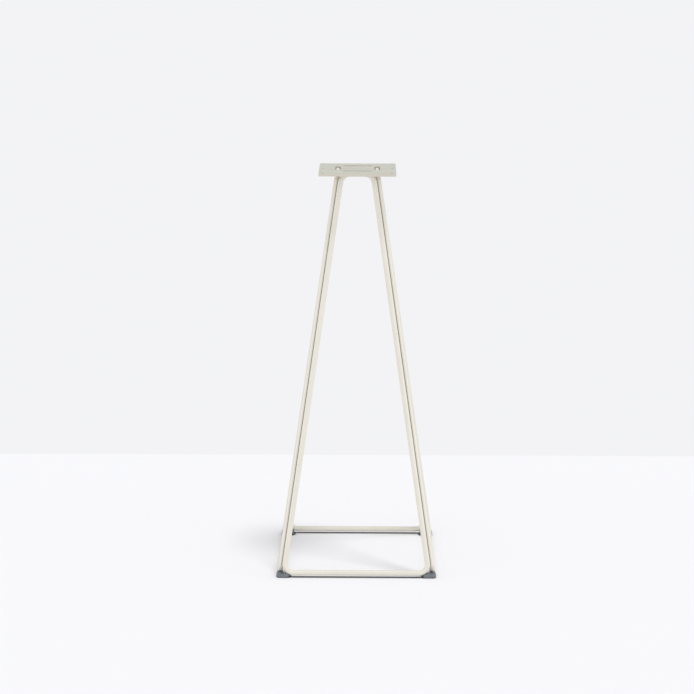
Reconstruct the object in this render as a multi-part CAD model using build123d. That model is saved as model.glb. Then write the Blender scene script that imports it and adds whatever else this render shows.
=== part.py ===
from build123d import *
import os
from math import atan2, cos, degrees, hypot, radians, sin, sqrt, tan

# Bar table base: four closed loops of bent round rod lean together into a slim pyramid.
# Their top bars are let into slots in a square plate, and each bottom corner stands on a moulded glide.
# Millimetres, +Z up, origin on the floor under the middle of the base. The front looks along -Y.

# Frame
height = 1050.0  # floor to the plate's top face
rod_d = 14.0  # round rod of all four loops
bottom_bend_radius = 22.0  # centreline radius of the bends at the feet
top_bend_radius = 26.0  # centreline radius of the bends under the plate
foot_spread = 200.0  # middle of the base to the axis of each bottom bar
top_spread = 51.0  # middle of the base to the axis of each top bar
floor_gap = 5.0  # clear height under the bottom bars
weld_gap = 0.3  # clear width between the two legs of a pair

# Top plate
plate_side = 200.0
plate_thickness = 8.0
plate_corner = 3.0  # corner radius in plan
plate_bevel = 0.6  # broken edges of the plate and of its slots
crown_drop = 1.0  # crowns of the top bars below the plate's top face
slot_clearance = 0.3  # between a top bar and the wall of its slot
hole_d = 7.0  # holes for the table top's screws
hole_inset = 10.0  # from the plate's edge to the outer rows of holes

# Corner glides
glide_side = 34.0
glide_height = 9.5
glide_overhang = 2.0  # how far a glide stands out past the bars
glide_corner = 9.0  # corner radius in plan
glide_foot_bevel = 1.2  # bevel round the face on the floor
glide_top_round = 0.8
seat_clearance = 0.3  # between a rod and its seat in the glide

# Threaded bosses between the rods, and the screws that hold the glides
boss_d = 10.0
boss_top = 20.0  # top of a boss above the floor
boss_clearance = 0.7  # between a boss and the line of each bar
boss_base = 7.0  # underside of a boss above the floor
thread_d = 6.0
thread_clearance = 0.1
screw_reach = 17.0  # tip of a screw above the floor
screw_head_d = 9.5
screw_head_seat = 4.5  # face of the glide that the head bears on, above the floor
screw_head_height = 3.3
head_clearance = 0.5

# Weld beads
bead_clearance = 0.1  # between a bead and the round of a rod
leg_bead_r = 2.6
leg_bead_depth = 4.2  # bead's axis from the plane through the two legs' axes
leg_bead_length = 25.0
leg_bead_inset = 40.0  # from the end of a bend to the middle of the bead
plate_bead_r = 3.0
plate_bead_length = 24.0

# Sizes that follow from them
rod_r = rod_d / 2
bar_z = floor_gap + rod_r
top_z = height - crown_drop - rod_r
plate_under = height - plate_thickness
rise = top_z - bar_z
run_in = foot_spread - top_spread
lean = degrees(atan2(run_in, rise))
pair_step = (rod_d + weld_gap) / sqrt(2)
bottom_half = foot_spread - pair_step
top_half = top_spread - pair_step
loop_length = hypot(rise, run_in)
leg_slant = degrees(atan2(run_in, loop_length))
bottom_tangent = bottom_bend_radius * tan(radians((90 + leg_slant) / 2))
top_tangent = top_bend_radius * tan(radians((90 - leg_slant) / 2))
slot_reach = sqrt((top_bend_radius + rod_r) ** 2 - top_bend_radius**2)
slot_half = top_half - top_tangent + slot_reach + slot_clearance
slot_width = rod_d + 2 * slot_clearance
hole_row = plate_side / 2 - hole_inset
glide_middle = foot_spread + rod_r + glide_overhang - glide_side / 2
boss_middle = foot_spread - rod_r - boss_d / 2 - boss_clearance

sides = ["front", "right", "back", "left"]
corners = ["front_left", "front_right", "back_right", "back_left"]


def quarter_turns(solid, count):
    """The solid turned about the upright middle line of the base."""
    return Rot(0, 0, 90 * count) * solid


def loop_path():
    """Centreline of the front loop: a tall closed trapezoid that leans back to the plate."""
    plane = Plane(
        origin=(0, -foot_spread, bar_z),
        x_dir=(1, 0, 0),
        z_dir=(0, -cos(radians(lean)), sin(radians(lean))),
    )
    outline = FilletPolyline(
        (-bottom_half, 0),
        (bottom_half, 0),
        (top_half, loop_length),
        (-top_half, loop_length),
        radius=(bottom_bend_radius, bottom_bend_radius, top_bend_radius, top_bend_radius),
        close=True,
    )
    return plane * outline


def rod_loop(radius):
    """The front loop as a round rod of this radius."""
    path = loop_path()
    section = Plane(origin=path @ 0, z_dir=path % 0) * Circle(radius)
    return sweep(section, path=path)


def top_plate():
    """Square plate with a slot for each top bar and three screw holes along each edge."""
    plate = extrude(RectangleRounded(plate_side, plate_side, plate_corner), plate_thickness)
    slot = extrude(SlotOverall(2 * slot_half, slot_width), plate_thickness)
    for side in range(len(sides)):
        plate -= quarter_turns(Pos(0, -top_spread, 0) * slot, side)
    plate = chamfer(plate.edges().group_by(Axis.Z)[-1], plate_bevel)
    hole = extrude(Circle(hole_d / 2), plate_thickness)
    for side in range(len(sides)):
        for along in (-hole_row, 0):
            plate -= quarter_turns(Pos(along, -hole_row, 0) * hole, side)
    return Pos(0, 0, plate_under) * plate


def glide_block():
    """Rounded block with a bevelled foot and softened top edges."""
    plan = RectangleRounded(glide_side, glide_side, glide_corner)
    block = extrude(plan, glide_height)
    block = fillet(block.edges().group_by(Axis.Z)[-1], glide_top_round)
    block = chamfer(block.edges().group_by(Axis.Z)[0], glide_foot_bevel)
    return Pos(-glide_middle, -glide_middle, 0) * block


def glide(front_seat, left_seat):
    """Front left glide: saddles for both bends, a pocket for the boss and a hole for its screw."""
    body = glide_block() - front_seat - left_seat
    pocket_r = boss_d / 2 + seat_clearance
    axis = Pos(-boss_middle, -boss_middle, 0)
    pocket = extrude(Circle(pocket_r), glide_height)
    body -= axis * Pos(0, 0, boss_base) * pocket
    body -= axis * extrude(Circle(thread_d / 2 + seat_clearance), boss_base)
    body -= axis * extrude(Circle(screw_head_d / 2 + head_clearance), screw_head_seat)
    return body


def boss():
    """Threaded boss between the two bends of the front left corner."""
    body = extrude(Circle(boss_d / 2), boss_top - boss_base)
    body -= extrude(Circle(thread_d / 2 + thread_clearance), boss_top - boss_base)
    return Pos(-boss_middle, -boss_middle, boss_base) * body


def glide_screw():
    """Pan head screw, driven up through the front left glide into its boss."""
    head = extrude(Circle(screw_head_d / 2), screw_head_height)
    shank = extrude(Circle(thread_d / 2), screw_reach - screw_head_seat)
    socket = extrude(RegularPolygon(thread_d / 3, 6), screw_head_height / 2)
    body = head + Pos(0, 0, screw_head_height) * shank - socket
    return Pos(-boss_middle, -boss_middle, screw_head_seat - screw_head_height) * body


def leg_beads():
    """Two weld beads in the inner groove of the front left pair of legs."""
    slope = run_in / rise
    along = Vector(slope, slope, 1).normalized()
    inward = Vector(1, 1, -2 * slope).normalized()
    across = Vector(1, -1, 0).normalized() * ((rod_d + weld_gap) / 2)
    from_bottom = bottom_tangent + leg_bead_inset
    to_top = loop_length - top_tangent - leg_bead_inset
    beads = []
    for distance in (from_bottom, to_top):
        z = bar_z + rise * distance / loop_length
        off = foot_spread - slope * (z - bar_z) - pair_step / 2
        middle = Vector(-off, -off, z)
        start = middle + inward * leg_bead_depth - along * (leg_bead_length / 2)
        bead = extrude(Plane(origin=start, z_dir=along) * Circle(leg_bead_r), leg_bead_length)
        for leg in (middle - across, middle + across):
            plane = Plane(origin=leg - along * leg_bead_length, z_dir=along)
            bead -= extrude(plane * Circle(rod_r + bead_clearance), 2 * leg_bead_length)
        beads.append(bead)
    return beads


def plate_beads(front_fit):
    """Weld beads along both flanks of the front top bar, under the plate."""
    beads = []
    for flank in (-1, 1):
        y = -top_spread + flank * (rod_r + slot_clearance)
        plane = Plane(origin=(-plate_bead_length / 2, y, plate_under), z_dir=(1, 0, 0))
        bead = extrude(plane * Circle(plate_bead_r), plate_bead_length)
        above = Pos(0, y, plate_under) * Box(
            2 * plate_bead_length,
            4 * plate_bead_r,
            2 * plate_bead_r,
            align=(Align.CENTER, Align.CENTER, Align.MIN),
        )
        beads.append(bead - above - front_fit)
    return beads


def write(name, solids):
    """One STEP file holding one solid, or a group of separate ones."""
    group = solids if isinstance(solids, list) else [solids]
    pieces = [piece for solid in group for piece in solid.solids()]
    for piece in pieces:
        piece.label = name
    shape = pieces[0] if len(pieces) == 1 else Compound(label=name, children=pieces)
    export_step(shape, f"parts/{name}.step")


def build():
    os.makedirs("parts", exist_ok=True)
    front_rod = rod_loop(rod_r)
    for turn, side in enumerate(sides):
        write(f"{side}_loop", quarter_turns(front_rod, turn))
    write("top_plate", top_plate())

    front_seat = rod_loop(rod_r + seat_clearance)
    corner_glide = glide(front_seat, quarter_turns(front_seat, -1))
    corner_boss = boss()
    corner_screw = glide_screw()
    for turn, corner in enumerate(corners):
        write(f"{corner}_glide", quarter_turns(corner_glide, turn))
        write(f"{corner}_boss", quarter_turns(corner_boss, turn))
        write(f"{corner}_glide_screw", quarter_turns(corner_screw, turn))

    corner_beads = leg_beads()
    side_beads = plate_beads(rod_loop(rod_r + bead_clearance))
    turns = range(len(sides))
    write("leg_weld_beads", [quarter_turns(bead, turn) for turn in turns for bead in corner_beads])
    write("plate_weld_beads", [quarter_turns(bead, turn) for turn in turns for bead in side_beads])


build()
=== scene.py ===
# %% [markdown]
# # A bar table base of bent rod
# The real object is four closed loops of round steel rod, bent and welded into a slim pyramid,
# with a slotted plate on top and a moulded glide under each corner. All of it but the glides and
# their fixings is powder coated in one ivory.
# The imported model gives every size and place, and this lesson never moves it. It adds what a
# photograph shows and a solid model leaves out: smooth bends, rippled welds, soft moulded edges,
# the skin of the paint, and the light.

# %% Load the frame
from math import atan2, cos, hypot, pi, radians, sin, sqrt, tan

import bpy
from mathutils import Matrix, Vector


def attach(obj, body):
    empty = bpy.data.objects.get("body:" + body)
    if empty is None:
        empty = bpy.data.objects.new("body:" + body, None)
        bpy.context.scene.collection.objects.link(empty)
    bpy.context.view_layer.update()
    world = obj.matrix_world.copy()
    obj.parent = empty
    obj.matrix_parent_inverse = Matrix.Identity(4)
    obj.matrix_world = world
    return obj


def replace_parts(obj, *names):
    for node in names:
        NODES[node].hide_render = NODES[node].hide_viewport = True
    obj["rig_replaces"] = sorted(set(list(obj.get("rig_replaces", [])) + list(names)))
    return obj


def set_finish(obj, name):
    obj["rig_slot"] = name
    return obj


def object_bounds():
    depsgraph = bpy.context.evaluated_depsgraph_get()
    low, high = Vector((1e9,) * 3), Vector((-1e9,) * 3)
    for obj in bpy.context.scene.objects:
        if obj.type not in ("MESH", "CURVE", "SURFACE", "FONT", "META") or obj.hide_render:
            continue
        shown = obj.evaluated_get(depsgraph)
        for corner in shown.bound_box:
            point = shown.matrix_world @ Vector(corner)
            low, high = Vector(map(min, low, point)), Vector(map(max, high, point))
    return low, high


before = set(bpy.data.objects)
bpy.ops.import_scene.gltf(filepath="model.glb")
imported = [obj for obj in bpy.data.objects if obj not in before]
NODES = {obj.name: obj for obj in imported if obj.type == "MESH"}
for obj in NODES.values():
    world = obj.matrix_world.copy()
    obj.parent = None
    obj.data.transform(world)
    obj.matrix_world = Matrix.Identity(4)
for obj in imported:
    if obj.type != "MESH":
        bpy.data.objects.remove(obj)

cad_low, cad_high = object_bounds()
SCENE = bpy.context.scene
print("nodes:", len(NODES), "height:", round(cad_high.z, 4))

# %% [markdown]
# ## Camera
# The picture was taken from far away with a long lens, a little above the top plate. The camera's
# numbers were worked out from the edges of the object: how far the four feet and the four corners
# of the plate are apart in the picture fixed the distance, the height and the lens together. The
# same three turns as on a tripod are used here: pan, tilt, and a trace of roll.

# %% Camera
CAMERA_PLACE = Vector((0.0237, -5.8058, 1.8179))
PAN, TILT, ROLL = radians(0.498), radians(12.097), radians(0.0975)
FOCAL_PIXELS, PICTURE_PIXELS, SENSOR_MM = 2238.6, 694, 36

camera = bpy.data.objects.new("camera", bpy.data.cameras.new("camera"))
SCENE.collection.objects.link(camera)
camera.data.sensor_width = SENSOR_MM
camera.data.lens = FOCAL_PIXELS / PICTURE_PIXELS * SENSOR_MM
camera.data.clip_end = 60
camera.matrix_world = (
    Matrix.Translation(CAMERA_PLACE)
    @ Matrix.Rotation(PAN, 4, "Z")
    @ Matrix.Rotation(pi / 2 - TILT, 4, "X")
    @ Matrix.Rotation(ROLL, 4, "Z")
)
SCENE.camera = camera
print("lens:", round(camera.data.lens, 2), "mm")

# %% [markdown]
# ## Helpers
# A few short functions keep the cells below readable. The ones for nodes set a socket by its
# name. The ones for modelling do what a hand would do: clear the selection, add, turn, apply.

# %% Helpers for node trees
def new_material(name):
    """An empty node material, with its output ready to be linked."""
    material = bpy.data.materials.new(name)
    material.use_nodes = True
    material.node_tree.nodes.clear()
    material.node_tree.nodes.new("ShaderNodeOutputMaterial")
    return material


def add_node(tree, kind, **values):
    """A node with its properties and its unlinked sockets set by name."""
    node = tree.nodes.new(kind)
    for key, value in values.items():
        socket = key.replace("_", " ")
        if socket in node.inputs:
            node.inputs[socket].default_value = value
        else:
            setattr(node, key, value)
    return node


def link(tree, source, output, target, socket):
    """A wire from one node's output to another node's input."""
    tree.links.new(source.outputs[output], target.inputs[socket])


def colour_between(tree, factor, first, second):
    """The wire of a mix of two colours, each of them a plain colour or a wire."""
    node = add_node(tree, "ShaderNodeMix", data_type="RGBA")
    tree.links.new(factor, node.inputs["Factor"])
    sockets = [socket for socket in node.inputs if socket.type == "RGBA"]
    for socket, colour in zip(sockets, (first, second)):
        if isinstance(colour, bpy.types.NodeSocket):
            tree.links.new(colour, socket)
        else:
            socket.default_value = (*colour, 1)
    return next(socket for socket in node.outputs if socket.type == "RGBA")


print("node helpers: new_material, add_node, link, colour_between")

# %% Helpers for modelling
SEAM = 1e-5  # points nearer than this are one point


def nothing_selected():
    """Operators act on all that is selected, so each piece starts from nothing."""
    if bpy.context.mode != "OBJECT":
        bpy.ops.object.mode_set(mode="OBJECT")
    bpy.ops.object.select_all(action="DESELECT")


def only(piece):
    """Selects one piece and makes it the active one."""
    nothing_selected()
    piece.select_set(True)
    bpy.context.view_layer.objects.active = piece


def settle(piece):
    """Puts the piece's place and turn into its mesh, so that its object sits at the origin."""
    only(piece)
    bpy.ops.object.transform_apply(location=True, rotation=True, scale=True)


def use_modifier(piece, kind, **values):
    """Adds one modifier with its settings and applies it at once."""
    only(piece)
    modifier = piece.modifiers.new(kind.lower(), kind)
    for key, value in values.items():
        setattr(modifier, key, value)
    bpy.ops.object.modifier_apply(modifier=modifier.name)


def close_seams(piece):
    """Merges the points that meet and turns every face outwards."""
    only(piece)
    bpy.ops.object.mode_set(mode="EDIT")
    bpy.ops.mesh.select_all(action="SELECT")
    bpy.ops.mesh.remove_doubles(threshold=SEAM)
    bpy.ops.mesh.normals_make_consistent(inside=False)
    bpy.ops.object.mode_set(mode="OBJECT")


def turned_copy(piece, name, quarter):
    """A copy with a mesh of its own, turned about the upright middle line of the base."""
    copy = piece.copy()
    copy.data = piece.data.copy()
    copy.name = name
    SCENE.collection.objects.link(copy)
    copy.rotation_euler = (0, 0, quarter * pi / 2)
    settle(copy)
    return copy


print("modelling helpers: only, settle, use_modifier, close_seams, turned_copy")

# %% [markdown]
# ## Stage and light
# A product picture like this one has no room in it: a white floor that stops at a level line, and
# a paler grey behind. The floor is a real surface, because it catches the shadows and throws
# light back up on the rods. It is matt through and through, so it stays one white from near to
# far. What is behind it is only the colour of the world.
# It could be a curved backdrop, but a flat plane that simply ends gives the level line.

# %% Floor
FLOOR_BACK, FLOOR_WIDE, FLOOR_DEEP = 1.046, 24, 12

nothing_selected()
bpy.ops.mesh.primitive_plane_add(size=1, location=(0, 0, 0))
floor = bpy.context.object
floor.name = "floor"
bpy.ops.object.mode_set(mode="EDIT")
bpy.ops.mesh.select_all(action="SELECT")
bpy.ops.transform.resize(value=(FLOOR_WIDE, FLOOR_DEEP, 1))
bpy.ops.transform.translate(value=(0, FLOOR_BACK - FLOOR_DEEP / 2, 0))
bpy.ops.object.mode_set(mode="OBJECT")
print("floor reaches back to", FLOOR_BACK)

# %% [markdown]
# ## The line under the bars
# The bars hang a few millimetres above the floor, and the photograph has a thin, nearly black line
# under each. Soft light alone leaves it grey, so the line is painted shade. An ambient occlusion
# node in the floor's paint finds how closed in each point is, a power deepens it, and past the
# outline of the feet it fades out, so that it doesn't make the feet look wider.

# %% Floor paint
FLOOR_COLOUR, CONTACT_SHADE_COLOUR = (0.90, 0.90, 0.915), (0.02, 0.02, 0.022)
CONTACT_REACH, CONTACT_DEPTH = 0.0078, 4.0
CORNER_CENTRE, CONTACT_FULL, CONTACT_END = 0.200, 0.0070, 0.0105

floor_paint = new_material("floor_paint")
tree = floor_paint.node_tree
shader = add_node(tree, "ShaderNodeBsdfDiffuse", Roughness=0.0)
near = add_node(tree, "ShaderNodeAmbientOcclusion", Distance=CONTACT_REACH, samples=16)
deep = add_node(tree, "ShaderNodeMath", operation="POWER")
deep.inputs[1].default_value = CONTACT_DEPTH
link(tree, near, "AO", deep, 0)
where = add_node(tree, "ShaderNodeTexCoord")
wire = where.outputs["Object"]
for operation, other in (("ABSOLUTE", 0.0), ("SUBTRACT", CORNER_CENTRE), ("MAXIMUM", 0.0)):
    step = add_node(tree, "ShaderNodeVectorMath", operation=operation)
    tree.links.new(wire, step.inputs[0])
    step.inputs[1].default_value = (other, other, other)
    wire = step.outputs["Vector"]
outside = add_node(tree, "ShaderNodeVectorMath", operation="LENGTH")
tree.links.new(wire, outside.inputs[0])
fade = add_node(
    tree, "ShaderNodeMapRange", From_Min=CONTACT_FULL, From_Max=CONTACT_END, To_Min=0.0, To_Max=1.0
)
link(tree, outside, "Value", fade, "Value")
lit = add_node(tree, "ShaderNodeMath", operation="MAXIMUM")
link(tree, deep, "Value", lit, 0)
link(tree, fade, "Result", lit, 1)
# Painted shade: the floor colour turns near black where the occlusion under the bars is deep.
painted_contact_shade = colour_between(tree, lit.outputs["Value"], CONTACT_SHADE_COLOUR, FLOOR_COLOUR)
tree.links.new(painted_contact_shade, shader.inputs["Color"])
link(tree, shader, "BSDF", tree.nodes["Material Output"], "Surface")
floor.data.materials.append(floor_paint)
print("floor paint:", len(tree.nodes), "nodes")

# %% [markdown]
# ## Lamps
# The world gives most of the light, as a white tent does. One wide lamp nearly overhead lays the
# plate's shadow on the floor as a faint cloud, at the left and to the back. Two weak lamps in front
# and a narrow one on each side, all nearly level with the floor, light the flanks of the rods and
# leave the floor alone. What the camera sees behind the floor is a colour of its own, which a Light
# Path node keeps apart from the light.

# %% World and lamps
BACKDROP = (0.896, 0.896, 0.913, 1)
FILL = (0.98, 0.98, 1.0, 1)
FILL_STRENGTH = 0.793

world = bpy.data.worlds.new("studio")
SCENE.world = world
world.use_nodes = True
tree = world.node_tree
tree.nodes.clear()
seen = add_node(tree, "ShaderNodeBackground", Color=BACKDROP, Strength=1.0)
fill = add_node(tree, "ShaderNodeBackground", Color=FILL, Strength=FILL_STRENGTH)
rays = tree.nodes.new("ShaderNodeLightPath")
mix = tree.nodes.new("ShaderNodeMixShader")
tree.links.new(rays.outputs["Is Camera Ray"], mix.inputs[0])
tree.links.new(fill.outputs[0], mix.inputs[1])
tree.links.new(seen.outputs[0], mix.inputs[2])
tree.links.new(mix.outputs[0], tree.nodes.new("ShaderNodeOutputWorld").inputs[0])


def sun(name, toward, strength, spread):
    """A far lamp in the direction `toward`, as wide in the sky as `spread` degrees."""
    lamp = bpy.data.objects.new(name, bpy.data.lights.new(name, "SUN"))
    SCENE.collection.objects.link(lamp)
    lamp.data.energy = strength
    lamp.data.angle = radians(spread)
    lamp.rotation_euler = Vector(toward).to_track_quat("Z", "Y").to_euler()
    return lamp


lamps = [
    sun("overhead", (0.188, -0.132, 1.05), 0.82, 10),
    sun("front_soft", (0.05, -1.0, 0.30), 0.10, 40),
    sun("front_strip", (0.22, -1.0, 0.05), 0.14, 6),
    sun("left_strip", (-1.0, -0.38, 0.05), 0.48, 7),
    sun("right_strip", (1.0, -0.30, 0.05), 0.48, 7),
]
SCENE.view_settings.view_transform = "Standard"
print("lamps:", [lamp.name for lamp in lamps])

# %% [markdown]
# ## Sizes
# The shape is worked out from the same few sizes as the real one: the height, the rod, how far
# the bars stand from the middle at the foot and at the plate, and the two bend radii. Each loop
# is flat and leans inwards, so its outline is drawn in its own plane: `u` along the bar and `v`
# up the slope. One function turns such a pair of numbers into a place in the room.

# %% Sizes and the plane of a loop
ROD_R = 0.007
FOOT_SPREAD, TOP_SPREAD = 0.200, 0.051
FOOT_BEND, TOP_BEND = 0.022, 0.026
FLOOR_GAP, CROWN_DROP, WELD_GAP = 0.005, 0.001, 0.0003
PLATE_UNDER = cad_high.z - 0.008

bar_z = FLOOR_GAP + ROD_R
rise = cad_high.z - CROWN_DROP - ROD_R - bar_z
run_in = FOOT_SPREAD - TOP_SPREAD
lean = atan2(run_in, rise)
slope_length = hypot(rise, run_in)
slant = atan2(run_in, slope_length)
leg_length = slope_length / cos(slant)
pair_step = (2 * ROD_R + WELD_GAP) / sqrt(2)
foot_half, top_half = FOOT_SPREAD - pair_step, TOP_SPREAD - pair_step
foot_tangent = FOOT_BEND * tan((pi / 2 + slant) / 2)
top_tangent = TOP_BEND * tan((pi / 2 - slant) / 2)
FACING = Vector((0, -cos(lean), sin(lean)))


def place(u, v):
    """A point of the front loop's plane as a place in the room."""
    return Vector((u, v * sin(lean) - FOOT_SPREAD, v * cos(lean) + bar_z))


def on_leg(distance):
    """The point of the right leg this far up from the corner of the outline."""
    return foot_half - distance * sin(slant), distance * cos(slant)


print("lean", round(lean, 4), "slope", round(slope_length, 4))
print("tangents", round(foot_tangent, 4), round(top_tangent, 4))

# %% [markdown]
# ## Bent rods
# A rod bender pulls a straight rod round a former, so a loop is nothing but straight lengths and
# arcs of one section. It is made the same way here: a circle on the middle of the bottom bar is
# extruded along each straight and spun round the centre of each bend, until it meets itself. A
# curve with a round bevel would be quicker, but this keeps evenly spaced rings in the bends and
# none in the straights, and the seam can be merged.

# %% The front loop
ROD_SIDES, BEND_STEPS = 40, 14


def bent_loop(name, radius):
    """The front loop as a tube of this radius, closed on itself."""
    nothing_selected()
    bpy.ops.mesh.primitive_circle_add(
        vertices=ROD_SIDES, radius=radius, location=place(0, 0), rotation=(0, pi / 2, 0)
    )
    loop = bpy.context.object
    loop.name = name
    lower, upper = on_leg(foot_tangent), on_leg(leg_length - top_tangent)
    bar_end, crown_end = foot_half - foot_tangent, top_half - top_tangent
    foot_turn, top_turn = pi / 2 + slant, pi / 2 - slant
    path = [
        ("straight", (0, 0), (bar_end, 0)),
        ("bend", (bar_end, FOOT_BEND), foot_turn),
        ("straight", lower, upper),
        ("bend", (crown_end, slope_length - TOP_BEND), top_turn),
        ("straight", (crown_end, slope_length), (-crown_end, slope_length)),
        ("bend", (-crown_end, slope_length - TOP_BEND), top_turn),
        ("straight", (-upper[0], upper[1]), (-lower[0], lower[1])),
        ("bend", (-bar_end, FOOT_BEND), foot_turn),
        ("straight", (-bar_end, 0), (0, 0)),
    ]
    bpy.ops.object.mode_set(mode="EDIT")
    bpy.ops.mesh.select_all(action="SELECT")
    for kind, start, end in path:
        if kind == "straight":
            shift = place(*end) - place(*start)
            bpy.ops.mesh.extrude_region_move(TRANSFORM_OT_translate={"value": shift})
        else:
            bpy.ops.mesh.spin(steps=BEND_STEPS, angle=-end, center=place(*start), axis=FACING)
    bpy.ops.object.mode_set(mode="OBJECT")
    settle(loop)
    close_seams(loop)
    only(loop)
    bpy.ops.object.shade_smooth()
    return loop


front_rod = bent_loop("front_rod", ROD_R)

# %% [markdown]
# ## The groove between two rods
# Each leg stands against the leg of the next loop, and shade falls into the narrow groove between
# them. That shade is painted into the coat as a dark tone. How far a point of the rod faces its
# neighbour is worked out here and kept on the mesh as a value between 0 and 1, which the paint
# reads later. It turns with the mesh when the loop is copied.

# %% Groove values on the front loop
# These values mark where painted shade darkens the coat in the groove.
GROOVE_FROM, GROOVE_FULL, GROOVE_FADE = 0.70, 0.96, 0.030
LEG_REACH = 1.1  # in radii: a point further than this from a leg's axis is on a bar


def ramp(value, low, high):
    """A smooth step from 0 at low to 1 at high."""
    t = min(1.0, max(0.0, (value - low) / (high - low)))
    return t * t * (3 - 2 * t)


leg_foot = place(*on_leg(foot_tangent)).z
leg_top = place(*on_leg(leg_length - top_tangent)).z
groove = front_rod.data.attributes.new("groove", "FLOAT", "POINT")
for point, value in zip(front_rod.data.vertices, groove.data):
    side = 1 if point.co.x > 0 else -1
    along = (point.co.z - bar_z) / cos(lean)
    axis = place(side * (foot_half - along * tan(slant)), along)
    faced = (point.co - axis).dot(Vector((side, 1, 0)).normalized()) / ROD_R
    ends = ramp(point.co.z, leg_foot - GROOVE_FADE, leg_foot)
    ends *= ramp(-point.co.z, -leg_top - GROOVE_FADE / 2, -leg_top)
    value.value = ramp(faced, GROOVE_FROM, GROOVE_FULL) * ends if abs(faced) < LEG_REACH else 0.0
print("groove points:", sum(value.value > 0.5 for value in groove.data))

# %% [markdown]
# ## Four loops
# The real base has four equal loops, a quarter turn apart. One finished mesh is copied and turned,
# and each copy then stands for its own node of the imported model.

# %% The other three loops
SIDES = ["front", "right", "back", "left"]
rods = [front_rod]
for quarter in (1, 2, 3):
    rods.append(turned_copy(front_rod, SIDES[quarter] + "_rod", quarter))
for rod, side in zip(rods, SIDES):
    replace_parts(rod, side + "_loop")
    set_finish(rod, "ivory_paint")
    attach(rod, "root")
print("rods:", [rod.name for rod in rods])

# %% [markdown]
# ## The plate
# The plate is cut from flat steel, so it starts as a flat block. Its slots and screw holes are cut
# with solid cutters in one boolean each, as a laser does, and then every sharp edge gets the
# small soft round that a tumbled and coated edge has. The round matters more than it looks: it
# draws the thin bright line along the front of the plate.

# %% Helpers for blocks, posts and edges
UPRIGHT = 1e-6  # how far the two ends of an upright edge may be apart in plan


def upright_edges(piece):
    """Selects the edges of the piece that stand upright."""
    only(piece)
    bpy.ops.object.mode_set(mode="EDIT")
    bpy.ops.mesh.select_all(action="DESELECT")
    bpy.ops.mesh.select_mode(type="EDGE")
    bpy.ops.object.mode_set(mode="OBJECT")
    points = piece.data.vertices
    for edge in piece.data.edges:
        a, b = (points[index].co for index in edge.vertices)
        edge.select = abs(a.x - b.x) + abs(a.y - b.y) < UPRIGHT
    bpy.ops.object.mode_set(mode="EDIT")


def rounded_block(name, size, middle, corner, segments):
    """A block whose four upright edges are rounded."""
    nothing_selected()
    bpy.ops.mesh.primitive_cube_add(size=1, location=middle)
    block = bpy.context.object
    block.name = name
    block.scale = size
    settle(block)
    upright_edges(block)
    bpy.ops.mesh.bevel(offset=corner, segments=segments, affect="EDGES")
    bpy.ops.object.mode_set(mode="OBJECT")
    return block


def cut(piece, cutter):
    """Takes the cutter out of the piece, then throws the cutter away."""
    use_modifier(piece, "BOOLEAN", object=cutter, operation="DIFFERENCE", solver="EXACT")
    bpy.data.objects.remove(cutter)


def post(radius, low_z, high_z, x=0.0, y=0.0, sides=32):
    """An upright round post, used as a cutter or as a blank to shape further."""
    nothing_selected()
    bpy.ops.mesh.primitive_cylinder_add(
        vertices=sides, radius=radius, depth=high_z - low_z, location=(x, y, (low_z + high_z) / 2)
    )
    made = bpy.context.object
    settle(made)
    return made


def soften(piece, width, segments, angle=35):
    """Rounds the sharp edges, shades the rest smooth, and keeps the large faces flat."""
    sharp = radians(angle)
    bevel = {"width": width, "segments": segments}
    use_modifier(piece, "BEVEL", **bevel, limit_method="ANGLE", angle_limit=sharp)
    only(piece)
    bpy.ops.object.shade_smooth_by_angle(angle=sharp)
    use_modifier(piece, "WEIGHTED_NORMAL", keep_sharp=True)


print("block helpers: rounded_block, cut, post, soften")

# %% The plate
PLATE_SIDE, PLATE_CORNER, CORNER_STEPS, EDGE_ROUND = 0.200, 0.003, 6, 0.0007
HOLE_R, HOLE_ROW, SLOT_GAP, SLOT_STEPS = 0.0035, 0.090, 0.0003, 12
CUTTER_TALL, CUTTER_OVER = 0.02, 0.005
NEARLY_ROUND = 0.999  # the two bevels of a slot's end stop just short of each other
plate_thickness = cad_high.z - PLATE_UNDER
plate_middle = cad_high.z - plate_thickness / 2
slot_reach = sqrt((TOP_BEND + ROD_R) ** 2 - TOP_BEND**2)
slot_half = top_half - top_tangent + slot_reach + SLOT_GAP
slot_r = ROD_R + SLOT_GAP

plate_size = (PLATE_SIDE, PLATE_SIDE, plate_thickness)
plate = rounded_block("plate", plate_size, (0, 0, plate_middle), PLATE_CORNER, CORNER_STEPS)
slot_size = (2 * slot_half, 2 * slot_r, CUTTER_TALL)
for quarter in range(4):
    slot_place = (0, -TOP_SPREAD, plate_middle)
    slot_cutter = rounded_block("slot", slot_size, slot_place, slot_r * NEARLY_ROUND, SLOT_STEPS)
    slot_cutter.rotation_euler = (0, 0, quarter * pi / 2)
    slot_cutter.location = Matrix.Rotation(quarter * pi / 2, 3, "Z") @ slot_cutter.location
    settle(slot_cutter)
    cut(plate, slot_cutter)
places = [(x, y) for x in (-HOLE_ROW, 0, HOLE_ROW) for y in (-HOLE_ROW, 0, HOLE_ROW) if x or y]
for x, y in places:
    cut(plate, post(HOLE_R, PLATE_UNDER - CUTTER_OVER, cad_high.z + CUTTER_OVER, x, y))
soften(plate, EDGE_ROUND, 2)
print("plate:", len(plate.data.polygons), "faces,", len(places), "holes")
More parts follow.
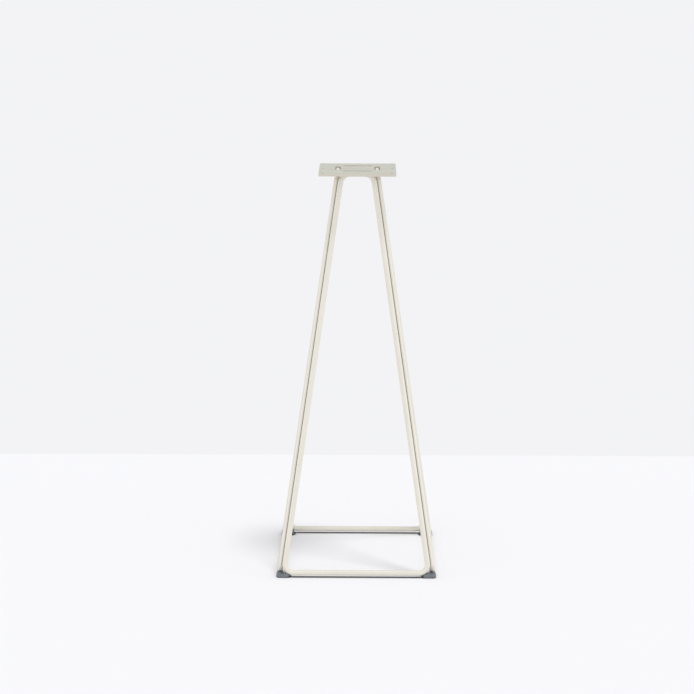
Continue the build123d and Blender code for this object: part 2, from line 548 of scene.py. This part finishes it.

# %% [markdown]
# ## The ends of the slots
# The ends of the slots look dark in the photograph, because a rod bends away there and leaves a
# hole under it. That shade is painted on the walls of the ends: they get the same value on the
# mesh as the grooves of the legs, and the coat turns nearly black there.
# Only points on the walls get it: on the big flat faces it would smear from corner to corner.

# %% Groove values in the slots
SLOT_FULL, ALLOWANCE = 0.6, 0.0002
round_from = slot_half - slot_r
groove = plate.data.attributes.new("groove", "FLOAT", "POINT")
# These values mark where painted shade darkens the walls at the slot ends.
for point, value in zip(plate.data.vertices, groove.data):
    on_wall = abs(point.co.z - plate_middle) < plate_thickness / 2 - EDGE_ROUND / 2
    for quarter in range(4):
        here = Matrix.Rotation(-quarter * pi / 2, 3, "Z") @ point.co
        in_length = abs(here.x) < slot_half + ALLOWANCE
        in_width = abs(here.y + TOP_SPREAD) < slot_r + ALLOWANCE
        if on_wall and in_length and in_width:
            value.value = ramp(abs(here.x), round_from, round_from + SLOT_FULL * slot_r)
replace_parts(plate, "top_plate")
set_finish(plate, "plate_paint")
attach(plate, "root")
print("dark points in the slots:", sum(value.value > 0.5 for value in groove.data))

# %% [markdown]
# ## Weld beads
# A weld laid by hand is a row of overlapping drops. Each bead starts as a ring and is extruded a
# quarter of a drop at a time, swelling and shrinking on the way, and its ends are drawn in. A plain
# rod would have the same volume but none of the ripple that catches the light in the groove.

# %% One rippled bead
DROP_PITCH, DROP_WAIST, DROP_STEPS = 0.0015, 0.86, 4
BEAD_SIDES, BEAD_SHARP, TIP, TIP_STEPS = 20, radians(60), 0.45, 3


def rippled_bead(name, radius, length):
    """A row of weld drops along +X, centred on the origin."""
    nothing_selected()
    start = (-length / 2, 0, 0)
    bpy.ops.mesh.primitive_circle_add(
        vertices=BEAD_SIDES, radius=radius * TIP, location=start, rotation=(0, pi / 2, 0)
    )
    bead = bpy.context.object
    bead.name = name
    settle(bead)
    bpy.ops.object.mode_set(mode="EDIT")
    bpy.ops.mesh.select_all(action="SELECT")
    bpy.ops.mesh.edge_face_add()
    steps = DROP_STEPS * round(length / DROP_PITCH)
    now = radius * TIP
    for step in range(1, steps + 1):
        x = -length / 2 + step * length / steps
        swell = DROP_WAIST + (1 - DROP_WAIST) * sin(pi * (step % DROP_STEPS) / DROP_STEPS)
        tail = min(step, steps - step) / TIP_STEPS
        want = radius * swell * min(1.0, TIP + (1 - TIP) * tail)
        bpy.ops.mesh.extrude_region_move(TRANSFORM_OT_translate={"value": (length / steps, 0, 0)})
        scale = want / now
        bpy.ops.transform.resize(value=(1, scale, scale), center_override=(x, 0, 0))
        now = want
    bpy.ops.object.mode_set(mode="OBJECT")
    close_seams(bead)
    only(bead)
    bpy.ops.object.shade_smooth_by_angle(angle=BEAD_SHARP)
    return bead


def laid(bead, middle, along, up):
    """Moves a bead from the origin to its seam, with its length along `along`."""
    x = Vector(along).normalized()
    y = Vector(up).cross(x).normalized()
    z = x.cross(y)
    bead.matrix_world = Matrix.Translation(middle) @ Matrix((x, y, z)).transposed().to_4x4()
    settle(bead)
    return bead


def joined(pieces, name):
    """Several pieces as one object."""
    nothing_selected()
    for piece in pieces:
        piece.select_set(True)
    bpy.context.view_layer.objects.active = pieces[0]
    bpy.ops.object.join()
    pieces[0].name = name
    return pieces[0]


print("bead helpers: rippled_bead, laid, joined")

# %% [markdown]
# ## The beads in their seams
# Each pair of legs has a bead near its foot and one near the plate, in the inner groove where they
# don't show from outside. Each top bar has one along each flank, under the plate. The beads of one
# corner are laid first, and the other three corners are turned copies.

# %% Sixteen beads
LEG_BEAD_R, LEG_BEAD_DEPTH, LEG_BEAD_LENGTH, LEG_BEAD_INSET = 0.0026, 0.0042, 0.025, 0.040
PLATE_BEAD_R, PLATE_BEAD_LENGTH, PLATE_BEAD_DROP = 0.00285, 0.024, 0.0002

tilt = run_in / rise
up_leg = Vector((tilt, tilt, 1)).normalized()
inward = Vector((1, 1, -2 * tilt)).normalized()
leg_beads = []
for distance in (foot_tangent + LEG_BEAD_INSET, slope_length - top_tangent - LEG_BEAD_INSET):
    z = bar_z + rise * distance / slope_length
    off = FOOT_SPREAD - tilt * (z - bar_z) - pair_step / 2
    middle = Vector((-off, -off, z)) + inward * LEG_BEAD_DEPTH
    bead = rippled_bead("leg_bead", LEG_BEAD_R, LEG_BEAD_LENGTH)
    leg_beads.append(laid(bead, middle, up_leg, inward))
plate_beads = []
for flank in (-1, 1):
    middle = Vector((0, flank * (ROD_R + SLOT_GAP) - TOP_SPREAD, PLATE_UNDER - PLATE_BEAD_DROP))
    bead = rippled_bead("plate_bead", PLATE_BEAD_R, PLATE_BEAD_LENGTH)
    plate_beads.append(laid(bead, middle, (1, 0, 0), (0, 0, 1)))
for name, beads in (("leg_weld_beads", leg_beads), ("plate_weld_beads", plate_beads)):
    rest = [turned_copy(bead, name, quarter) for quarter in (1, 2, 3) for bead in beads]
    group = joined(beads + rest, name + "_rippled")
    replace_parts(group, name)
    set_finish(group, "ivory_paint")
    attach(group, "root")
    print(group.name, len(group.data.polygons), "faces")

# %% [markdown]
# ## Glides
# A glide is moulded in one shot, so all its edges are round. A rounded block is made first. Tubes
# of the rod's own size, a hair larger, then press the two saddles into it, so that it hugs the
# bends. Three posts cut the pocket of the boss, the bore of the screw and the recess of its head.

# %% One glide
GLIDE_SIDE, GLIDE_TOP, GLIDE_CORNER, GLIDE_STEPS = 0.034, 0.0095, 0.009, 10
GLIDE_OVERHANG, GLIDE_ROUND, RIM_ROUND, SEAT_GAP = 0.002, 0.0030, 0.00025, 0.0003
BOSS_R, BOSS_FROM, BOSS_TO, BOSS_GAP, THREAD_R = 0.005, 0.007, 0.020, 0.0007, 0.003
HEAD_R, HEAD_SEAT, HEAD_TALL, HEAD_GAP = 0.00475, 0.0045, 0.0033, 0.0005
ABOVE, BELOW = 0.03, -0.01  # where the cutters end, clear of the glide
glide_middle = FOOT_SPREAD + ROD_R + GLIDE_OVERHANG - GLIDE_SIDE / 2
boss_middle = FOOT_SPREAD - ROD_R - BOSS_R - BOSS_GAP

glide = rounded_block(
    "front_left_foot",
    (GLIDE_SIDE, GLIDE_SIDE, GLIDE_TOP),
    (-glide_middle, -glide_middle, GLIDE_TOP / 2),
    GLIDE_CORNER,
    GLIDE_STEPS,
)
soften(glide, GLIDE_ROUND, 5, 60)
front_seat = bent_loop("front_seat", ROD_R + SEAT_GAP)
left_seat = turned_copy(front_seat, "left_seat", 3)
cut(glide, front_seat)
cut(glide, left_seat)
for radius, low_z, high_z, sides in (
    (BOSS_R + SEAT_GAP, BOSS_FROM, ABOVE, 40),
    (THREAD_R + SEAT_GAP, BELOW, ABOVE, 32),
    (HEAD_R + HEAD_GAP, BELOW, HEAD_SEAT, 40),
):
    cut(glide, post(radius, low_z, high_z, -boss_middle, -boss_middle, sides))
close_seams(glide)
soften(glide, RIM_ROUND, 2, 50)
print("glide:", len(glide.data.polygons), "faces")

# %% [markdown]
# ## Boss and screw
# Between the rods of each corner stands a plain steel boss with a thread. Its rim is turned off,
# and that small chamfer is what shines out of the dark gap over the glide. The screw comes up
# from below: a pan head with a hexagon socket, and a shank that is hidden once it is in.

# %% One boss
THREAD_GAP, BOSS_RIM = 0.0001, 0.0004

boss = post(BOSS_R, BOSS_FROM, BOSS_TO, -boss_middle, -boss_middle, 48)
boss.name = "front_left_threaded_boss"
cut(boss, post(THREAD_R + THREAD_GAP, 0, ABOVE, -boss_middle, -boss_middle, 32))
soften(boss, BOSS_RIM, 2, 40)
print("boss:", len(boss.data.polygons), "faces")

# %% One screw
SOCKET_R, SHANK, SHANK_BEVEL, HEAD_ROUND = 0.002, 0.0122, 0.0004, 0.0003


def top_face(piece):
    """Selects the highest face of a piece and opens edit mode."""
    only(piece)
    bpy.ops.object.mode_set(mode="EDIT")
    bpy.ops.mesh.select_all(action="DESELECT")
    bpy.ops.mesh.select_mode(type="FACE")
    bpy.ops.object.mode_set(mode="OBJECT")
    faces = sorted(piece.data.polygons, key=lambda face: face.center.z)
    faces[-1].select = True
    bpy.ops.object.mode_set(mode="EDIT")


screw = post(HEAD_R, HEAD_SEAT - HEAD_TALL, HEAD_SEAT, -boss_middle, -boss_middle, 36)
screw.name = "front_left_pan_screw"
top_face(screw)
bpy.ops.mesh.inset(thickness=HEAD_R - THREAD_R)
bpy.ops.mesh.extrude_region_move(TRANSFORM_OT_translate={"value": (0, 0, SHANK)})
bpy.ops.mesh.bevel(offset=SHANK_BEVEL, segments=1, affect="EDGES")
bpy.ops.object.mode_set(mode="OBJECT")
cut(screw, post(SOCKET_R, 0, HEAD_SEAT - HEAD_TALL / 2, -boss_middle, -boss_middle, 6))
soften(screw, HEAD_ROUND, 2, 40)
print("screw:", len(screw.data.polygons), "faces")

# %% [markdown]
# ## Four corners
# The glide, the boss and the screw of the front left corner are finished, so the other three
# corners are turned copies of them, each with a mesh of its own.

# %% Four corners
CORNERS = ["front_left", "front_right", "back_right", "back_left"]
for quarter, corner in enumerate(CORNERS):
    for piece, part, finish in (
        (glide, "glide", "glide_plastic"),
        (boss, "boss", "screw_steel"),
        (screw, "glide_screw", "screw_steel"),
    ):
        new = turned_copy(piece, corner + "_" + part + "_fine", quarter) if quarter else piece
        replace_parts(new, corner + "_" + part)
        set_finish(new, finish)
        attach(new, "root")
print("corners:", len(CORNERS))

# %% [markdown]
# ## Powder coat
# Powder is sprayed on dry and baked, and it comes out as a satin skin with a faint orange peel:
# soft hollows a millimetre or two across. It is never quite even. Where it lies thicker it is a
# shade deeper and glossier. Both the rods and the plate use this skin, so it is a node group: it
# takes the place on the object and gives back a tone, a roughness and a height. Where the value
# kept on the mesh says groove or slot end, a dark tone of painted shade takes over.

# %% Helpers for textures
def new_group(name, inputs, outputs):
    """An empty shader node group with float or vector sockets, and its two end nodes."""
    group = bpy.data.node_groups.new(name, "ShaderNodeTree")
    for socket, kind, value in inputs:
        made = group.interface.new_socket(name=socket, in_out="INPUT", socket_type=kind)
        if value is not None:
            made.default_value = value
    for socket, kind in outputs:
        group.interface.new_socket(name=socket, in_out="OUTPUT", socket_type=kind)
    return group, group.nodes.new("NodeGroupInput"), group.nodes.new("NodeGroupOutput")


def noise(tree, vector, scale, detail=2.0, roughness=0.5):
    """A noise texture that reads the given vector wire."""
    node = add_node(tree, "ShaderNodeTexNoise", Scale=scale, Detail=detail, Roughness=roughness)
    tree.links.new(vector, node.inputs["Vector"])
    return node.outputs["Fac"]


def spread(tree, value, low, high):
    """Stretches a noise, which mostly lies between 0.3 and 0.7, over the range low to high."""
    node = add_node(tree, "ShaderNodeMapRange", From_Min=0.3, From_Max=0.7, To_Min=low, To_Max=high)
    tree.links.new(value, node.inputs["Value"])
    return node.outputs["Result"]


print("texture helpers: new_group, noise, spread")

# %% The powder skin group
FLOAT, VECTOR = "NodeSocketFloat", "NodeSocketVector"
SATIN, GRAIN_SCALE, GRAIN_SHARE = (0.27, 0.34), 2600.0, 0.12

skin, start, end = new_group(
    "powder_skin",
    [("Vector", VECTOR, None), ("Peel Scale", FLOAT, 520.0), ("Cloud Scale", FLOAT, 14.0)],
    [("Tone", FLOAT), ("Roughness", FLOAT), ("Peel", FLOAT)],
)
peel = add_node(skin, "ShaderNodeTexNoise", Detail=1.5, Roughness=0.4)
clouds = add_node(skin, "ShaderNodeTexNoise", Detail=3.0, Roughness=0.55)
skin.links.new(start.outputs["Vector"], peel.inputs["Vector"])
skin.links.new(start.outputs["Vector"], clouds.inputs["Vector"])
skin.links.new(start.outputs["Peel Scale"], peel.inputs["Scale"])
skin.links.new(start.outputs["Cloud Scale"], clouds.inputs["Scale"])
grain = noise(skin, start.outputs["Vector"], GRAIN_SCALE)
skin.links.new(spread(skin, clouds.outputs["Fac"], 0.0, 1.0), end.inputs["Tone"])
skin.links.new(spread(skin, clouds.outputs["Fac"], *SATIN), end.inputs["Roughness"])
height = add_node(skin, "ShaderNodeMath", operation="MULTIPLY_ADD")
height.inputs[1].default_value = GRAIN_SHARE
skin.links.new(grain, height.inputs[0])
skin.links.new(peel.outputs["Fac"], height.inputs[2])
skin.links.new(height.outputs["Value"], end.inputs["Peel"])
print("group:", skin.name, len(skin.nodes), "nodes")

# %% Helpers for finishes
def placed_group(tree, group, **values):
    """The group in a material, reading the object's own coordinates."""
    node = add_node(tree, "ShaderNodeGroup")
    node.node_tree = group
    for key, value in values.items():
        node.inputs[key.replace("_", " ")].default_value = value
    where = add_node(tree, "ShaderNodeTexCoord")
    tree.links.new(where.outputs["Object"], node.inputs["Vector"])
    return node


def bump(tree, height, distance, strength):
    """A bump node on a height wire, in metres."""
    node = add_node(tree, "ShaderNodeBump", Distance=distance, Strength=strength)
    tree.links.new(height, node.inputs["Height"])
    return node.outputs["Normal"]


PEEL_HEIGHT, PEEL_STRENGTH = 0.00009, 0.5


def powder_coat(name, dark, light, painted_shade_tone, **scales):
    """A satin powder coat between two close tones, with painted shade where the mesh value is high.
    """
    material = new_material(name)
    tree = material.node_tree
    surface = placed_group(tree, skin, **scales)
    shader = add_node(tree, "ShaderNodeBsdfPrincipled")
    in_the_open = colour_between(tree, surface.outputs["Tone"], dark, light)
    # Painted shade: where the value kept on the mesh is high, the coat turns to a dark tone.
    shade_mask = add_node(tree, "ShaderNodeAttribute", attribute_name="groove")
    coat = colour_between(tree, shade_mask.outputs["Fac"], in_the_open, painted_shade_tone)
    tree.links.new(coat, shader.inputs["Base Color"])
    tree.links.new(surface.outputs["Roughness"], shader.inputs["Roughness"])
    peel_bump = bump(tree, surface.outputs["Peel"], PEEL_HEIGHT, PEEL_STRENGTH)
    tree.links.new(peel_bump, shader.inputs["Normal"])
    link(tree, shader, "BSDF", tree.nodes["Material Output"], "Surface")
    return material, surface, shader, coat


print("finish helpers: placed_group, bump, powder_coat")

# %% Ivory powder coat
IVORY = ((0.705, 0.675, 0.585), (0.745, 0.715, 0.625))
# Painted shade: the dark tone the rods' coat takes in the groove between paired legs.
GROOVE_PAINTED_SHADE = (0.26, 0.245, 0.21)

ivory, *_ = powder_coat("ivory_powder_coat", *IVORY, GROOVE_PAINTED_SHADE)
print("material:", ivory.name)

# %% [markdown]
# ## The plate's coat
# The top face is cooler and darker than the rods and the plate's edges, with long faint streaks
# from side to side. A noise that is squeezed hard along two axes gives the streaks, and the height
# of a point tells the top face from the edges.

# %% Plate powder coat
PLATE_IVORY = ((0.565, 0.53, 0.45), (0.60, 0.565, 0.485))
# Painted shade: the nearly black tone of the walls at the slot ends.
SLOT_END_PAINTED_SHADE = (0.07, 0.07, 0.065)
TOP_FACE_TONES, FACE_EDGE = ((0.415, 0.42, 0.335), (0.585, 0.585, 0.48)), 0.0006
STREAK_SCALE, STREAK_SHARE, CLOUD_SHARE = (5.0, 170.0, 170.0), 0.65, 0.35

plate_coat, surface, shader, coat_with_slot_shade = powder_coat(
    "plate_powder_coat", *PLATE_IVORY, SLOT_END_PAINTED_SHADE, Cloud_Scale=9.0
)
tree = plate_coat.node_tree
where = add_node(tree, "ShaderNodeTexCoord")
squeeze = add_node(tree, "ShaderNodeMapping", vector_type="POINT", Scale=STREAK_SCALE)
link(tree, where, "Object", squeeze, "Vector")
streaks = noise(tree, squeeze.outputs["Vector"], scale=1.0, detail=2.0, roughness=0.6)
pattern = add_node(tree, "ShaderNodeMath", operation="MULTIPLY_ADD", use_clamp=True)
pattern.inputs[1].default_value = CLOUD_SHARE
tree.links.new(surface.outputs["Tone"], pattern.inputs[0])
tree.links.new(spread(tree, streaks, 0.0, STREAK_SHARE), pattern.inputs[2])
top_face_colour = colour_between(tree, pattern.outputs["Value"], *TOP_FACE_TONES)
level = add_node(tree, "ShaderNodeSeparateXYZ")
link(tree, where, "Object", level, "Vector")
face_z = cad_high.z
on_face = add_node(
    tree, "ShaderNodeMapRange", From_Min=face_z - FACE_EDGE, From_Max=face_z - FACE_EDGE / 3
)
link(tree, level, "Z", on_face, "Value")
coats = colour_between(tree, on_face.outputs["Result"], coat_with_slot_shade, top_face_colour)
tree.links.new(coats, shader.inputs["Base Color"])
print("material:", plate_coat.name)

# %% [markdown]
# ## Moulded grey plastic
# The glides are dark grey nylon straight from the mould: a fine spark-eroded grain, a slight sheen,
# and a paler scuffed band where they rub on the floor. The band follows the height above the
# floor, broken up by a noise so that it has no hard line.

# %% Glide plastic
NYLON, SCUFFED = ((0.125, 0.14, 0.155), (0.165, 0.18, 0.195)), (0.23, 0.24, 0.25)
SCUFF_RAGGED, SCUFF_FULL, SCUFF_END = 0.0006, 0.0002, 0.0009
SHEEN, SPARK_HEIGHT, SPARK_STRENGTH = (0.38, 0.52), 0.00003, 0.4

plastic = new_material("glide_grey_nylon")
tree = plastic.node_tree
shader = add_node(tree, "ShaderNodeBsdfPrincipled", IOR=1.5)
where = add_node(tree, "ShaderNodeTexCoord").outputs["Object"]
height = add_node(tree, "ShaderNodeSeparateXYZ")
tree.links.new(where, height.inputs["Vector"])
scratches = noise(tree, where, scale=420.0, detail=4.0, roughness=0.7)
scuff_noise = spread(tree, scratches, -SCUFF_RAGGED, SCUFF_RAGGED)
edge = add_node(tree, "ShaderNodeMath", operation="ADD")
tree.links.new(height.outputs["Z"], edge.inputs[0])
tree.links.new(scuff_noise, edge.inputs[1])
scuff = add_node(
    tree, "ShaderNodeMapRange", From_Min=SCUFF_FULL, From_Max=SCUFF_END, To_Min=1.0, To_Max=0.0
)
tree.links.new(edge.outputs["Value"], scuff.inputs["Value"])
mottle = spread(tree, noise(tree, where, scale=60.0, detail=3.0), 0.0, 1.0)
body = colour_between(tree, mottle, *NYLON)
worn = colour_between(tree, scuff.outputs["Result"], body, SCUFFED)
tree.links.new(worn, shader.inputs["Base Color"])
sheen = spread(tree, noise(tree, where, scale=300.0, detail=3.0), *SHEEN)
tree.links.new(sheen, shader.inputs["Roughness"])
sparks = noise(tree, where, scale=2200.0, detail=2.0)
tree.links.new(bump(tree, sparks, SPARK_HEIGHT, SPARK_STRENGTH), shader.inputs["Normal"])
link(tree, shader, "BSDF", tree.nodes["Material Output"], "Surface")
print("material:", plastic.name)

# %% [markdown]
# ## Zinc plate
# The boss and the screws are bright zinc over turned steel: a cool grey metal with fine turning
# lines round the axis and the cloudy bloom that passivated zinc has.

# %% Zinc
ZINC, ZINC_ROUGHNESS = ((0.74, 0.77, 0.82), (0.86, 0.89, 0.94)), (0.42, 0.26)
TURNING_SCALE, LINE_HEIGHT, LINE_STRENGTH = (60.0, 60.0, 5200.0), 0.00002, 0.3

zinc = new_material("bright_zinc")
tree = zinc.node_tree
shader = add_node(tree, "ShaderNodeBsdfPrincipled", Metallic=1.0)
where = add_node(tree, "ShaderNodeTexCoord").outputs["Object"]
turning = add_node(tree, "ShaderNodeMapping", vector_type="POINT", Scale=TURNING_SCALE)
tree.links.new(where, turning.inputs["Vector"])
bloom = noise(tree, where, scale=240.0, detail=4.0, roughness=0.6)
zinc_colour = colour_between(tree, spread(tree, bloom, 0.0, 1.0), *ZINC)
tree.links.new(zinc_colour, shader.inputs["Base Color"])
tree.links.new(spread(tree, bloom, *ZINC_ROUGHNESS), shader.inputs["Roughness"])
lines = noise(tree, turning.outputs["Vector"], scale=1.0, detail=1.0)
tree.links.new(bump(tree, lines, LINE_HEIGHT, LINE_STRENGTH), shader.inputs["Normal"])
link(tree, shader, "BSDF", tree.nodes["Material Output"], "Surface")
print("material:", zinc.name)

# %% [markdown]
# ## The finish of every piece
# Each new piece was given the name of a finish when it was made, and takes its material from it.
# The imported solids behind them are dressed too, so that none is ever seen bare.

# %% Every piece gets its finish
FINISHES = {
    "ivory_paint": ivory,
    "plate_paint": plate_coat,
    "glide_plastic": plastic,
    "screw_steel": zinc,
}


def record_slot(node_name):
    """The finish that belongs to a node, told from its name."""
    if node_name == "top_plate":
        return "plate_paint"
    if node_name.endswith("_glide"):
        return "glide_plastic"
    return "screw_steel" if node_name.endswith(("_boss", "_screw")) else "ivory_paint"


for name, node in NODES.items():
    for solid_slot in node.material_slots:
        solid_slot.material = FINISHES[record_slot(name)]
meshes = [piece for piece in SCENE.objects if piece.type == "MESH"]
dressed = [piece for piece in meshes if "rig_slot" in piece and "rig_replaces" in piece]
for piece in dressed:
    piece.data.materials.clear()
    piece.data.materials.append(FINISHES[piece["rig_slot"]])
print("finished pieces:", len(dressed))
